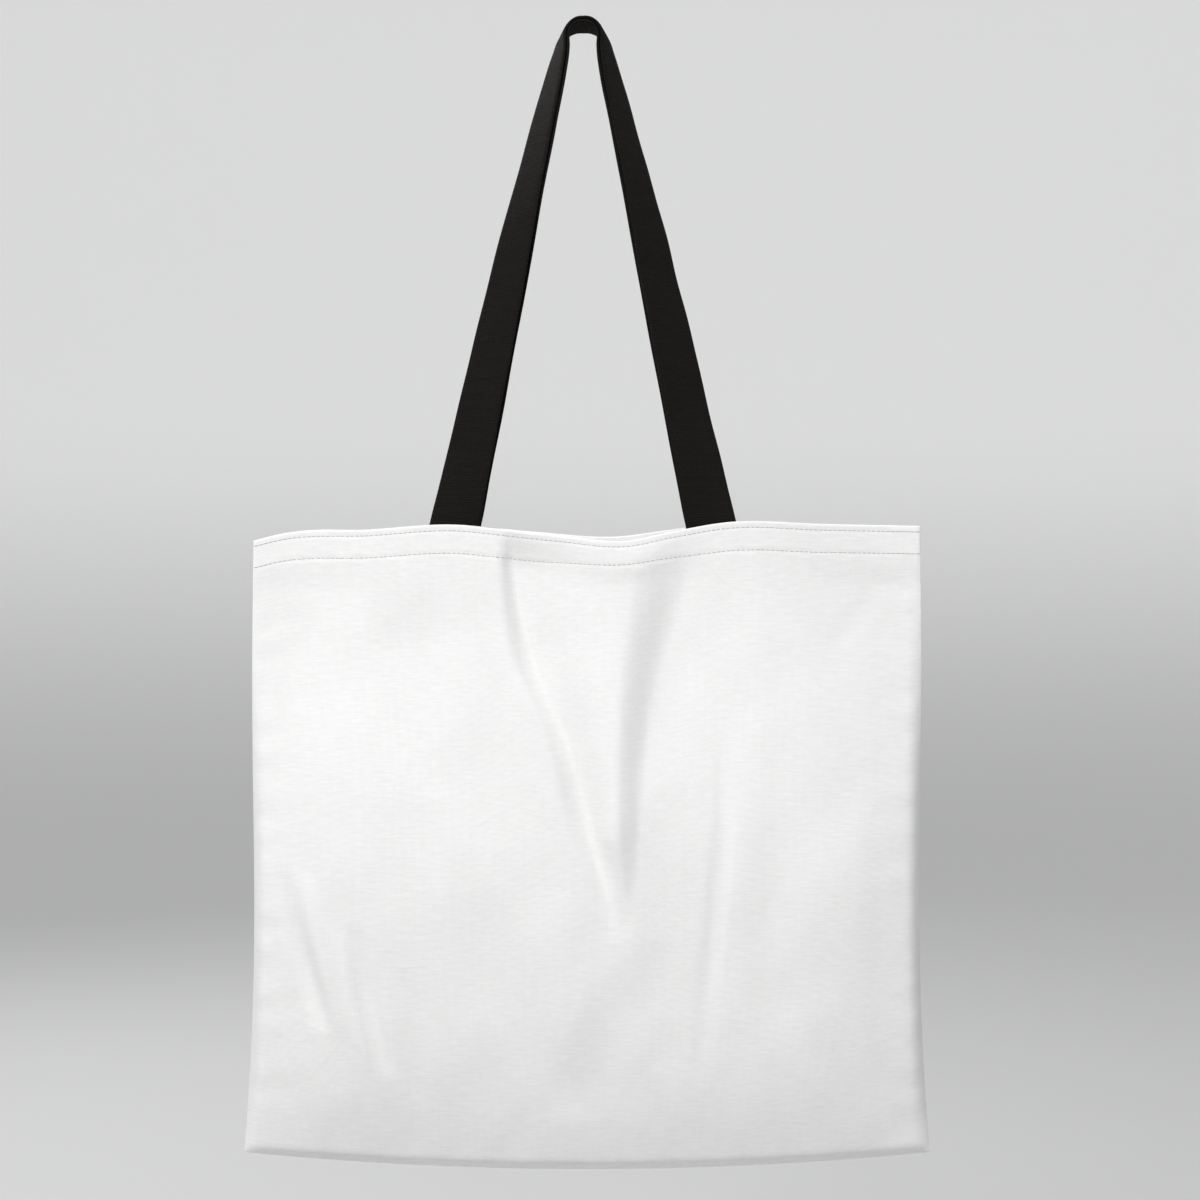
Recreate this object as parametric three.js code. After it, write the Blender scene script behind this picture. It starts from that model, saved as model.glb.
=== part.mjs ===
// Canvas tote bag, hanging square from a peg by its two webbing handles.
// Millimetres. +X to the viewer's right, +Y away from the viewer, +Z up.
// The origin is the top of the peg, where the inner handle's loop rests on it.
import * as THREE from 'three';

// ---------------------------------------------------------------- driving dimensions

// The flat cut of the bag, and how it hangs
const bagWidth = 406; // side seam to side seam
const bagHeight = 381; // top edge to bottom seam, measured down the cloth
const hangDrop = 295; // peg to the top edge, where the handles are sewn
const dipDepth = 9; // the top edge sags this much midway between the handles
const cornerDrop = 5; // and this much at the side seams
const bottomSag = 10; // the bottom seam's middle hangs this much below its corners
const clothTakeUp = 7; // height that the cloth loses by bulging
const sidePull = 5; // how far the bulging cloth draws each side seam in
const bottomGrip = 5; // power that keeps the sides full width near the bottom seam
const wallDepth = 15; // y of the flat back face, where the bag rests on a wall
const frontBelly = 26; // how far the front panel bulges towards the viewer
const mouthBow = 5; // extra gape of the top edge midway between the handles
const sideRoll = 62; // width over which a panel curves in to a side seam
const bottomRoll = 48; // height over which a panel curves in to the bottom seam
const shoulder = 190; // height over which the top edge's shape gives way to the belly's
const rollPower = 2.2; // how quickly a panel swells away from a seam

// Cloth, seams and thread
const clothThick = 0.8;
const layerGap = 0.3; // clearance between layers that touch
const hemDepth = 17; // depth of the turned and stitched top edge
const seamAllowance = 9.5; // raw edge inside the side and bottom seams
const overlockWidth = 0.8;
const threadWidth = 0.5;
const threadThick = 0.4;
const edgeStitchDrop = 2.7; // upper stitch row, below the top edge
const hemStitchRise = 2; // lower stitch row, above the hem's lower edge
const bobbinStart = 22; // the inner threads start this far in from the pressed side seams
const bobbinClear = 1.5; // they stay lifted this far past a sewn handle end's edge
const bobbinRamp = 2; // and come down to the hem over this width

// Webbing handles
const webWidth = 30;
const webThick = 2;
const handleSpacing = 152; // between one handle's centre lines at the top edge
const handleSplay = 0.2; // sideways run of a handle for each millimetre down, at the hem
const sewnShort = 1; // each sewn end stops this far above the hem's lower edge
const pegRadius = 8;
const loopGap = 1; // clearance between the two loops where they lie on each other
const turnPower = 0.75; // a leg turns faster near the hem than near the peg
const closePower = 2.5; // how quickly the two handles close up on their way to the peg

// How finely the shapes are divided
const beltRows = 14;
const legSteps = 22;
const arcSteps = 6;

// ---------------------------------------------------------------- derived dimensions

const halfWidth = bagWidth / 2;
const hemStitchDrop = hemDepth - hemStitchRise;
const sewnLength = hemDepth - sewnShort;
const handleX = handleSpacing / 2;
const flatMargin = 3; // the cloth stays flat this far past a handle's edge and below the hem
const pressMargin = 0.4; // and is pressed flat this far past an overlocked edge
const flatInner = handleX - webWidth / 2 - flatMargin;
const flatOuter = handleX + webWidth / 2 + handleSplay * sewnLength + flatMargin;
const topScale = 1 - sidePull / halfWidth;
const seamFlat = seamAllowance + layerGap + overlockWidth + pressMargin; // panels lie flat together
const seamLayers = 1.5; // half a panel, and one layer of its turned edge, out from the middle plane
const seamDepth = seamLayers * (layerGap + clothThick); // mid-panel to the middle plane at a seam
const seamThick = 2 * (seamDepth - clothThick / 2 - layerGap);
const turnInset = clothThick + layerGap; // hem turn behind its panel, middle to middle
const webInset = turnInset + clothThick / 2 + layerGap + webThick / 2; // sewn end behind its panel
const threadOutset = clothThick / 2 + layerGap + threadThick / 2;
const handleDepth = 7; // mid-handle to the bag's middle plane, at the top edge
const strapDepth = handleDepth + webInset; // mid-panel to the middle plane at a handle
const hemFlat = hemDepth + flatMargin; // the hem band hangs straight down this far
const backBelly = wallDepth - clothThick / 2;

const clamp01 = (t) => Math.min(1, Math.max(0, t));
const ease = (t) => clamp01(t) ** 2 * (3 - 2 * clamp01(t));
const swell = (t) => 1 - (1 - clamp01(t)) ** rollPower;
const mix = THREE.MathUtils.lerp;

// ---------------------------------------------------------------- materials

const canvas = new THREE.MeshStandardMaterial({ color: 0xf4f3f0, roughness: 0.9, metalness: 0 });
const foldedCanvas = new THREE.MeshStandardMaterial({ color: 0xeeede9, roughness: 0.9, metalness: 0 });
const webbing = new THREE.MeshStandardMaterial({ color: 0x1e1c1b, roughness: 0.82, metalness: 0 });
const thread = new THREE.MeshStandardMaterial({ color: 0xe6e5e1, roughness: 0.7, metalness: 0 });

// ---------------------------------------------------------------- the hanging cloth
// cut is a place on the flat cut: x from the middle, drop down from the top edge.
// A panel's depth is its distance from the bag's middle plane, to the front or the back.

function topEdge(x) {
  const sag = Math.abs(x) < handleX
    ? dipDepth * Math.cos((Math.PI * x) / (2 * handleX)) ** 2
    : cornerDrop * ease((Math.abs(x) - handleX) / (halfWidth - handleX));
  return -hangDrop - sag;
}

function bottomEdge(x) {
  const corner = -hangDrop - bagHeight + clothTakeUp;
  return corner - bottomSag * (1 - (x / halfWidth) ** 2);
}

function hang(cutX, drop) {
  const fall = drop / bagHeight;
  const x = cutX * (1 - (sidePull / halfWidth) * (1 - fall ** bottomGrip));
  return { x, z: mix(topEdge(x), bottomEdge(x), fall) };
}

function mouthDepth(x) {
  const sideEdge = (halfWidth - seamFlat) * topScale;
  const fromSeam = ease((sideEdge - Math.abs(x)) / (sideEdge - flatOuter));
  const bow = mouthBow * ease((flatInner - Math.abs(x)) / flatInner);
  return mix(seamDepth, strapDepth, fromSeam) + bow;
}

function bellyDepth(cutX, drop, belly) {
  const fromSide = swell((halfWidth - seamFlat - Math.abs(cutX)) / sideRoll);
  const fromBottom = swell((bagHeight - seamFlat - drop) / bottomRoll);
  return mix(seamDepth, belly, fromSide * fromBottom);
}

function panelDepth(cutX, drop, belly) {
  const { x } = hang(cutX, drop);
  return mix(mouthDepth(x), bellyDepth(cutX, drop, belly), ease((drop - hemFlat) / shoulder));
}

// side is -1 for the front of the bag and +1 for its back; inset moves a layer inwards
const front = { side: -1, belly: frontBelly };
const back = { side: 1, belly: backBelly };

const layer = (panel, inset) => (cutX, drop) => {
  const { x, z } = hang(cutX, drop);
  return new THREE.Vector3(x, panel.side * (panelDepth(cutX, drop, panel.belly) - inset), z);
};

const middle = (cutX, drop) => {
  const { x, z } = hang(cutX, drop);
  return new THREE.Vector3(x, 0, z);
};

// ---------------------------------------------------------------- solid builders

// stops with a number of equal steps between each pair
function spread(stops, steps) {
  const values = [stops[0]];
  for (let i = 1; i < stops.length; i++) {
    for (let k = 1; k <= steps[i - 1]; k++) values.push(mix(stops[i - 1], stops[i], k / steps[i - 1]));
  }
  return values;
}

const mirrored = (half) => [...half.slice(1).reverse().map((x) => -x), ...half];

// A closed solid from rings of corners: each ring is a loop of points, and flat ends close it
function loft(rings) {
  const size = rings[0].length;
  const positions = rings.flat().flatMap((p) => [p.x, p.y, p.z]);
  const index = [];
  for (let r = 0; r + 1 < rings.length; r++) {
    for (let k = 0; k < size; k++) {
      const a = r * size + k;
      const b = r * size + ((k + 1) % size);
      index.push(a, b, b + size, a, b + size, a + size);
    }
  }
  const last = (rings.length - 1) * size;
  const columns = size / 2;
  for (let k = 0; k + 1 < columns; k++) {
    const far = size - 1 - k;
    index.push(k, far, far - 1, k, far - 1, k + 1);
    index.push(last + k, last + far - 1, last + far, last + k, last + k + 1, last + far - 1);
  }
  const geometry = new THREE.BufferGeometry();
  geometry.setAttribute('position', new THREE.Float32BufferAttribute(positions, 3));
  geometry.setIndex(index);
  geometry.computeVertexNormals();
  return geometry;
}

// A sheet of cloth or thread: rows and columns on the flat cut, with a thickness along Y.
// The ring at each row runs along its near face and comes back along its far one.
function sheet(columns, rows, place, thickness) {
  const half = thickness / 2;
  const rings = rows.map((drop) => {
    const line = columns.map((x) => place(x, drop));
    const near = line.map((p) => new THREE.Vector3(p.x, p.y - half, p.z));
    const far = line.map((p) => new THREE.Vector3(p.x, p.y + half, p.z)).reverse();
    return [...near, ...far];
  });
  return loft(rings.reverse());
}

// ---------------------------------------------------------------- grids on the flat cut

const sideInner = halfWidth - seamAllowance;
const halfColumns = spread(
  [0, flatInner / topScale, flatOuter / topScale, halfWidth - seamFlat - sideRoll,
    halfWidth - seamFlat, halfWidth],
  [4, 2, 2, 5, 1],
);
const panelColumns = mirrored(halfColumns);
const panelRows = spread(
  [0, hemDepth, hemFlat, bagHeight - seamFlat - bottomRoll, bagHeight - seamFlat, bagHeight],
  [1, 1, beltRows, 6, 1],
);
const hemColumns = mirrored([...halfColumns.slice(0, -1), halfWidth - layerGap]);
const seamRows = [hemDepth + layerGap, ...panelRows.filter((drop) => drop > hemDepth + layerGap)];

// ---------------------------------------------------------------- pieces of cloth

const panelSolid = (panel) => sheet(panelColumns, panelRows, layer(panel, 0), clothThick);

const hemTurnSolid = (panel) => sheet(hemColumns, [0, hemDepth], layer(panel, turnInset), clothThick);

function sideSeamSolid(side) {
  const columns = side > 0
    ? [sideInner, halfWidth - layerGap]
    : [layerGap - halfWidth, -sideInner];
  return sheet(columns, seamRows, middle, seamThick);
}

function sideOverlockSolid(side) {
  const outer = sideInner - layerGap;
  const columns = side > 0 ? [outer - overlockWidth, outer] : [-outer, overlockWidth - outer];
  return sheet(columns, seamRows, middle, seamThick);
}

const bottomReach = sideInner - 2 * layerGap - overlockWidth;
const bottomColumns = mirrored([...halfColumns.filter((x) => x < bottomReach - layerGap), bottomReach]);
const bottomInner = bagHeight - seamAllowance;
const bottomSeamSolid = () => sheet(bottomColumns, [bottomInner, bagHeight - layerGap], middle, seamThick);
const bottomOverlockSolid = () => sheet(
  bottomColumns,
  [bottomInner - layerGap - overlockWidth, bottomInner - layerGap],
  middle,
  seamThick,
);

// ---------------------------------------------------------------- thread

// The needle thread lies on the outer face of its panel
const needleSolid = (panel, drop) => sheet(
  hemColumns,
  [drop, drop + threadWidth],
  layer(panel, -threadOutset),
  threadThick,
);

// The bobbin thread lies on the hem turn, and climbs over each sewn handle end
function bobbinSolid(panel, drop) {
  const centre = (handleX + handleSplay * drop) / topScale;
  const onWeb = webWidth / 2 / topScale + bobbinClear;
  const offWeb = onWeb + bobbinRamp;
  const sewn = [centre - offWeb, centre - onWeb, centre + onWeb, centre + offWeb];
  const reach = halfWidth - seamFlat - bobbinStart;
  const clearOf = (x) => Math.abs(x - centre) > offWeb + threadWidth && x < reach - threadWidth;
  const plain = halfColumns.filter(clearOf);
  const columns = mirrored([...plain, ...sewn, reach].sort((a, b) => a - b));
  const climb = webThick + layerGap;
  const place = (cutX, down) => {
    const off = (Math.abs(Math.abs(cutX) - centre) - onWeb) / (offWeb - onWeb);
    return layer(panel, turnInset + threadOutset + climb * clamp01(1 - off))(cutX, down);
  };
  return sheet(columns, [drop, drop + threadWidth], place, threadThick);
}

// ---------------------------------------------------------------- webbing handles

// Frames along one handle, from its left end at the hem, over the peg, to its right end.
// t runs from 0 at the hem to 1 at the top of the loop; the webbing turns a quarter as it rises.
const stackPitch = webThick + loopGap;
const centreRadius = pegRadius + webThick / 2 + stackPitch / 2;
const pegCentre = new THREE.Vector2(0, -pegRadius);
const legFoot = new THREE.Vector2(handleX, -hangDrop + layerGap / 2);
const legTurn = 90; // degrees

function legPath() {
  // the straight leg leaves the loop's arc where it is tangent to it
  const reach = new THREE.Vector2().subVectors(legFoot, pegCentre);
  const lean = Math.atan2(reach.y, reach.x) + Math.acos(centreRadius / reach.length());
  const path = new THREE.CurvePath();
  const spoke = new THREE.Vector2(Math.cos(lean), Math.sin(lean)).multiplyScalar(centreRadius);
  const tangent = spoke.add(pegCentre);
  path.add(new THREE.LineCurve(legFoot, tangent));
  const arc = new THREE.EllipseCurve(0, pegCentre.y, centreRadius, centreRadius, lean, Math.PI / 2, false);
  path.add(arc);
  return path;
}

function handleFrames(panel) {
  const path = legPath();
  const [line, arc] = path.curves;
  const samples = [];
  const total = path.getLength();
  const lineShare = line.getLength() / total;
  for (let i = 0; i <= legSteps; i++) {
    samples.push({ t: (i / legSteps) * lineShare, p: line.getPoint(i / legSteps) });
  }
  for (let i = 1; i <= arcSteps; i++) {
    samples.push({ t: mix(lineShare, 1, i / arcSteps), p: arc.getPoint(i / arcSteps) });
  }
  const tangentAt = (i) => {
    const before = samples[Math.max(0, i - 1)].p;
    const after = i + 1 < samples.length ? samples[i + 1].p : new THREE.Vector2(-before.x, before.y);
    return new THREE.Vector2().subVectors(after, before).normalize();
  };
  const right = samples.map(({ t, p }, i) => {
    const turn = THREE.MathUtils.degToRad(legTurn * t ** turnPower);
    const along = tangentAt(i);
    const across = new THREE.Vector3(Math.cos(turn), Math.sin(turn), 0);
    const up = new THREE.Vector3(along.x, 0, along.y);
    const face = new THREE.Vector3().crossVectors(across, up).normalize();
    // the loops lie on each other at the peg and stand a mouth's width apart at the hem
    const opening = (2 * handleDepth - stackPitch) * (1 - t) ** closePower;
    const centre = new THREE.Vector3(p.x, 0, p.y)
      .addScaledVector(face, (-panel.side * stackPitch) / 2)
      .add(new THREE.Vector3(0, (panel.side * opening) / 2, 0));
    return { centre, across, face };
  });
  const flip = (v) => new THREE.Vector3(-v.x, v.y, v.z);
  const left = right.slice(0, -1).map(({ centre, across, face }) => ({
    centre: flip(centre), across: flip(across), face: flip(face),
  }));
  return { left, right };
}

// Each ring runs along the webbing's front face and back along its rear one
function webRing({ centre, across, face }) {
  const corner = (w, n) => centre.clone()
    .addScaledVector(across, (w * webWidth) / 2)
    .addScaledVector(face, (n * webThick) / 2);
  return [corner(1, 1), corner(-1, 1), corner(-1, -1), corner(1, -1)];
}

function handleSolid(panel) {
  const { left, right } = handleFrames(panel);
  return loft([...left, ...right.reverse()].map(webRing));
}

function sewnEndSolid(panel, side) {
  const y = panel.side * handleDepth;
  const ring = (drop) => {
    const centre = side * (handleX + handleSplay * drop);
    const corner = (w, n) => new THREE.Vector3(
      centre + (w * webWidth) / 2,
      y + (n * webThick) / 2,
      -hangDrop - layerGap / 2 - drop,
    );
    return [corner(-1, -1), corner(1, -1), corner(1, 1), corner(-1, 1)];
  };
  return loft([ring(sewnLength), ring(0)]);
}

// ---------------------------------------------------------------- the assembly

const bag = new THREE.Group();

function add(name, geometry, material) {
  const mesh = new THREE.Mesh(geometry, material);
  mesh.name = name;
  bag.add(mesh);
}

for (const [name, panel] of [['front', front], ['back', back]]) {
  add(`${name}_panel`, panelSolid(panel), canvas);
  add(`${name}_hem_turn`, hemTurnSolid(panel), foldedCanvas);
  add(`${name}_edge_stitch`, needleSolid(panel, edgeStitchDrop), thread);
  add(`${name}_hem_stitch`, needleSolid(panel, hemStitchDrop), thread);
  add(`${name}_edge_bobbin_thread`, bobbinSolid(panel, edgeStitchDrop), thread);
  add(`${name}_hem_bobbin_thread`, bobbinSolid(panel, hemStitchDrop), thread);
  add(`${name}_handle`, handleSolid(panel), webbing);
  add(`${name}_handle_left_end`, sewnEndSolid(panel, -1), webbing);
  add(`${name}_handle_right_end`, sewnEndSolid(panel, 1), webbing);
}
for (const [name, side] of [['left', -1], ['right', 1]]) {
  add(`${name}_seam_allowance`, sideSeamSolid(side), foldedCanvas);
  add(`${name}_seam_overlock`, sideOverlockSolid(side), thread);
}
add('bottom_seam_allowance', bottomSeamSolid(), foldedCanvas);
add('bottom_seam_overlock', bottomOverlockSolid(), thread);

export default bag;
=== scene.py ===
# %% [markdown]
# # A canvas tote bag on its two webbing handles
# The bag is two rectangles of white canvas sewn together on three sides. The top edge is turned in and
# held by two rows of stitches, which also catch the ends of two black webbing handles. Both handles
# loop over one peg, so the bag hangs flat, with a soft swag between the handles.
#
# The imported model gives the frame: where each piece sits, and which body it moves with. Everything
# here is in metres in that same frame: +X right, +Y away from the viewer, +Z up, and the origin on
# top of the peg.

# %% Load the frame
import math

import bmesh
import bpy
import numpy as np
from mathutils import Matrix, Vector


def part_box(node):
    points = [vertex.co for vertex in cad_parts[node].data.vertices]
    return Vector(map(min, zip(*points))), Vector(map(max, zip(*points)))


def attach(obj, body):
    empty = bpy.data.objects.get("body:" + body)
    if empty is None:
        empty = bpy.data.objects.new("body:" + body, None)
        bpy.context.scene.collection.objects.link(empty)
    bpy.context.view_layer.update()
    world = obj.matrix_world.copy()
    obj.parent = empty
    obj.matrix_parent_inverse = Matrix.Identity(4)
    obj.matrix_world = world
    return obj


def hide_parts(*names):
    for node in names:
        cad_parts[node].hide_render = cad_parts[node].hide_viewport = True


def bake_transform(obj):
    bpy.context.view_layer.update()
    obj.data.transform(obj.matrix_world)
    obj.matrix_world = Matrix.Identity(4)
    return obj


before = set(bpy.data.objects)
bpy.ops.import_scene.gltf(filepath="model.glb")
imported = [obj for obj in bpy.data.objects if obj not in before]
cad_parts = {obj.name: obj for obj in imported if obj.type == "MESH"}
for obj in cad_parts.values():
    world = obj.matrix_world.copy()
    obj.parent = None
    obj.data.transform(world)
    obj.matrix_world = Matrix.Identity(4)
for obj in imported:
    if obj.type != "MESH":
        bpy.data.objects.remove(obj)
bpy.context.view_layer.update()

MM = 0.001

# %% [markdown]
# ## Camera
# The bag is seen square on from about its top edge's height, through a longish lens, so that its
# sides stay parallel. The camera comes first, so that every later piece can be judged through it.

# %% Camera
CAMERA_PLACE = (0.010, -1.390, -0.3405)
camera_data = bpy.data.cameras.new("camera")
camera_data.lens = 70.0
camera = bpy.data.objects.new("camera", camera_data)
camera.location = CAMERA_PLACE
camera.rotation_euler = (math.pi / 2, 0.0, 0.0)
bpy.context.scene.collection.objects.link(camera)
bpy.context.scene.camera = camera

# %% [markdown]
# ## Sizes
# The flat cut of the bag and the places of its seams. Sizes that the frame knows are read from it.
# The others are cloth facts: how thick canvas is, how tightly it folds, how far stitches are apart.

# %% Sizes of the cut
BAG_WIDTH = 406 * MM
BAG_HEIGHT = 381 * MM
HALF = BAG_WIDTH / 2
CLOTH = 0.8 * MM
HEM = 17.6 * MM
HEM_FOLD = 0.6 * MM  # radius of the fold along the top edge, to the middle of the cloth
SEAM_FOLD = 0.42 * MM  # radius of the fold along the side and bottom seams
SEAM_TOUCH = 0.45 * MM  # middle of the cloth to the bag's middle plane, inside a seam
ALLOWANCE = 9.5 * MM
EDGE_ROW = 2.7 * MM  # stitch rows, measured down from the top edge
HEM_ROW = 16.0 * MM
WEB_WIDTH = 30 * MM
WEB_THICK = 2 * MM
HANDLE_X = 76 * MM
HANDLE_Y = 7 * MM
HANDLE_SPLAY = 0.2
STRAP_DEPTH = 9.8 * MM  # middle plane to the panel, where a handle is sewn on

end_low, end_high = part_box("front_handle_right_end")
TOP_Z = end_high[2]
SEWN_Z = end_low[2]
PEG_RADIUS = 8 * MM
print("the top edge at the handles is at z", round(TOP_Z / MM, 1), "mm")

# %% [markdown]
# ## How the cloth hangs
# A place on the flat cut is (x, drop): x from the middle and drop down from the top edge. Hanging
# turns it into a point in space. The side seams, the top edge and the bottom edge each follow a few
# chosen points, with a smooth curve through them.

# %% Smooth curves and gentle unevenness
def ease(t):
    t = np.clip(t, 0.0, 1.0)
    return t * t * (3 - 2 * t)


def swell(t, power=2.2):
    return 1 - (1 - np.clip(t, 0.0, 1.0)) ** power


def through(points, x):
    """A smooth curve through points, read at x: cubic pieces whose slopes look one point each way."""
    px, py = np.array(points, float).T
    slope = np.gradient(py, px)
    i = np.clip(np.searchsorted(px, x) - 1, 0, len(px) - 2)
    width = px[i + 1] - px[i]
    t = np.clip((x - px[i]) / width, 0.0, 1.0)
    start = py[i] * (1 + 2 * t) * (1 - t) ** 2 + slope[i] * width * t * (1 - t) ** 2
    return start + py[i + 1] * t * t * (3 - 2 * t) - slope[i + 1] * width * t * t * (1 - t)


def uneven(seed, wavelength, *axes, waves=9):
    """Smooth unevenness from -1 to 1: waves of about one length that run in many directions."""
    rng = np.random.default_rng(seed)
    total = 0.0
    for _ in range(waves):
        direction = rng.normal(size=len(axes))
        direction /= np.linalg.norm(direction)
        along = sum(d * axis for d, axis in zip(direction, axes))
        length = wavelength * rng.uniform(0.7, 1.5)
        total = total + np.sin(2 * math.pi * along / length + rng.uniform(0, 2 * math.pi))
    return total / math.sqrt(waves * 2)


# %% Outline of the hanging bag
BAG_SHIFT = 2.2 * MM  # the bag hangs this far to the right of its peg
FRONT_TOP = [(-198, -11), (-182, -7), (-130, -4.6), (-76, -1.8), (-48, -4.6), (-18, -8), (24, -11.4),
             (50, -6), (82, -0.4), (140, -1.2), (198, -2.2)]
BACK_TOP = [(-198, -11), (-182, -6.6), (-130, -4.2), (-76, -1.6), (-30, -5.5), (18, -8.2),
            (50, -4.2), (82, -0.3), (140, -1.1), (198, -2.2)]
DIP_X = 22 * MM  # where the front of the mouth dips and leans towards the viewer
DIP_LEAN = 4.5 * MM
DIP_SQUEEZE = 2.6 * MM
CORNER_Z = -668.8 * MM
BOTTOM_SAG = 10 * MM
SIDE_PULL = 5 * MM


def top_edge(x, side):
    points = FRONT_TOP if side < 0 else BACK_TOP
    middle = through(points, x / MM) * MM
    seam = ease((np.abs(x) - 150 * MM) / (45 * MM))
    return TOP_Z + middle * (1 - seam) + through(FRONT_TOP, x / MM) * MM * seam


def bottom_edge(x):
    return CORNER_Z - BOTTOM_SAG * (1 - (x / HALF) ** 2)


def spread_x(x, drop):
    fall = np.clip(drop / BAG_HEIGHT, 0, 1)
    bend = 0.9 * MM * np.sin(math.pi * fall * 2.2) * (x / HALF)
    return x * (1 - SIDE_PULL / HALF * (1 - fall ** 5)) + bend


def dip(x, side):
    """1 in the middle of the front's dip, 0 at the handles and on the back."""
    return ease(1 - np.abs(x - DIP_X) / (60 * MM)) * (side < 0)


def height(x, drop, side):
    fall = drop / BAG_HEIGHT
    hung = spread_x(x, drop)
    lean = DIP_SQUEEZE * dip(hung, side) * ease(drop / (16 * MM)) * (1 - ease((drop - HEM) / (90 * MM)))
    return top_edge(hung, side) * (1 - fall) + bottom_edge(hung) * fall + lean


# %% [markdown]
# ## Folds
# Canvas is stiff, so an empty bag shows only a few soft folds. The top edge gapes between the
# handles, and that slack runs down the front as a swag: a shallow bulge that narrows to a point
# halfway down, steeper on its right flank. The rest are shallow dents near the seams. Each fold is a
# line on the cut with a width and a depth, so it can be moved like a line in clay.

# %% Depth of the panels
BELLY = {-1: 26 * MM, 1: 14.6 * MM}  # -1 is the front of the bag, 1 is its back
MOUTH_BOW = {-1: 6.5 * MM, 1: 3 * MM}
FLAT_AT_WEB = WEB_WIDTH / 2 + 3 * MM
SIDE_ROLL = (9 * MM, 78 * MM, 0.42)  # a short roll, a long taper, and the short one's share
BOTTOM_ROLL = (8 * MM, 95 * MM, 0.28)
SHOULDER = 200 * MM


def seam_depth(drop):
    """Room for the turned edges between the panels at a side seam, and more inside the hem."""
    pressed = SEAM_TOUCH + 2 * SEAM_FOLD
    return pressed + 2 * HEM_FOLD * (1 - ease((drop - HEM) / (20 * MM)))


def mouth(x, drop, side):
    hung = np.abs(spread_x(x, drop))
    outer = HANDLE_X + FLAT_AT_WEB + 3 * MM
    inner = HANDLE_X - FLAT_AT_WEB
    seam = 188 * MM
    base = seam_depth(drop)
    rise = base + (STRAP_DEPTH - base) * ease((seam - hung) / (seam - outer))
    return rise + MOUTH_BOW[side] * ease((inner - hung) / inner)


def roll(distance, near, far, share):
    """How full the bag is at a distance from a seam: it rounds off quickly, then swells slowly."""
    return share * swell(distance / near) + (1 - share) * swell(distance / far, 1.9)


def belly(x, drop, side):
    from_side = roll(HALF - np.abs(x), *SIDE_ROLL)
    from_bottom = roll(BAG_HEIGHT - drop, *BOTTOM_ROLL)
    fullness = 0.82 + 0.18 * ease(drop / (190 * MM)) - 0.06 * ease((drop - 220 * MM) / (160 * MM))
    base = seam_depth(drop)
    return base + (BELLY[side] * fullness - base) * from_side * from_bottom


def fold(x, drop, line, width, depth):
    """A soft fold along line, a list of (drop, x) in millimetres, that fades at both ends."""
    first, last = line[0][0] * MM, line[-1][0] * MM
    centre = through(line, drop / MM) * MM
    along = np.clip((drop - first) / (last - first), 0, 1)
    inside = (drop >= first) & (drop <= last)
    across = np.clip(1 - ((x - centre) / (width * MM)) ** 2, 0, 1) ** 2
    return depth * MM * across * np.sin(math.pi * along) ** 0.8 * inside


# The slack between the handles is a wedge: the cloth steps down along its left crease, climbs slowly
# to the right across its face, and falls steeply along its right flank.
# Each row is (drop, where the left crease starts and ends, where the right flank starts and ends).
SWAG = np.array([(6, -54, -46, 30, 68), (30, -53, -44, 28, 62), (76, -47, -33, 20.5, 46),
                 (123, -27, -12, 18, 37), (169, -15, 1, 17.5, 33), (200, -3, 9, 16.5, 31),
                 (238, 10, 17, 17, 24)], float)
SWAG_STEP = 1.15  # the step down on the left, as a share of the fall on the right
SWAG_HEIGHT = [(14, 5.6), (60, 7.6), (130, 7.4), (180, 5.6), (215, 2.2), (238, 0)]


def swag(x, drop):
    row = drop / MM
    left, left_top, right_top, right = (through(SWAG[:, (0, k)], row) * MM for k in (1, 2, 3, 4))
    step = ease((x - left) / np.maximum(left_top - left, MM))
    ramp = np.clip((x - left_top) / np.maximum(right_top - left_top, 14 * MM), 0, 1)
    ramp = (ramp + ease(ramp)) / 2
    fall = ease((x - right_top) / np.maximum(right - right_top, MM))
    top = through(SWAG_HEIGHT, row) * MM * ease((drop + 4 * MM) / (26 * MM)) * (row < SWAG[-1, 0])
    return top * ((1 + SWAG_STEP) * ramp - SWAG_STEP * step - fall)


FRONT_FOLDS = [
    ([(118, 80), (155, 83), (220, 78), (280, 72), (330, 68)], 9, -1.5),
    ([(110, 98), (200, 95), (300, 86)], 20, 1.4),
    ([(150, 50), (230, 52), (320, 46)], 26, -1.4),
    ([(205, -184), (245, -175), (300, -157)], 10, -3.4),
    ([(205, -171), (250, -160), (305, -146)], 9, 2.6),
    ([(235, -140), (270, -133), (325, -118)], 9, -2.8),
    ([(235, -150), (270, -144), (325, -130)], 7, 1.2),
    ([(260, -112), (300, -104), (345, -98)], 12, -1.3),
    ([(190, -66), (270, -50), (345, -12)], 28, -2.0),
    ([(240, 40), (300, 12), (350, -14)], 28, -1.6),
    ([(210, -22), (270, -14), (325, 0)], 24, 1.6),
    ([(18, -104), (80, -108), (160, -100)], 36, -3.0),
    ([(14, 188), (40, 172), (76, 150)], 14, -0.7),
    ([(130, 184), (240, 180), (350, 186)], 17, -1.0),
    ([(20, -188), (60, -178), (110, -170)], 13, -1.4),
]
BACK_FOLDS = [
    ([(16, -50), (80, -34), (150, -14), (210, 4)], 20, -3.2),
    ([(16, 52), (80, 40), (150, 22), (215, 8)], 20, -3.0),
    ([(20, -104), (110, -120), (220, -142)], 24, -2.2),
    ([(20, 104), (120, 116), (230, 146)], 24, -2.4),
    ([(180, -60), (260, -70), (350, -76)], 28, -2.0),
    ([(210, 70), (280, 60), (350, 62)], 24, -1.8),
    ([(250, 178), (280, 160), (320, 132)], 13, -1.6),
    ([(240, -176), (275, -158), (315, -138)], 13, -1.6),
]


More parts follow.
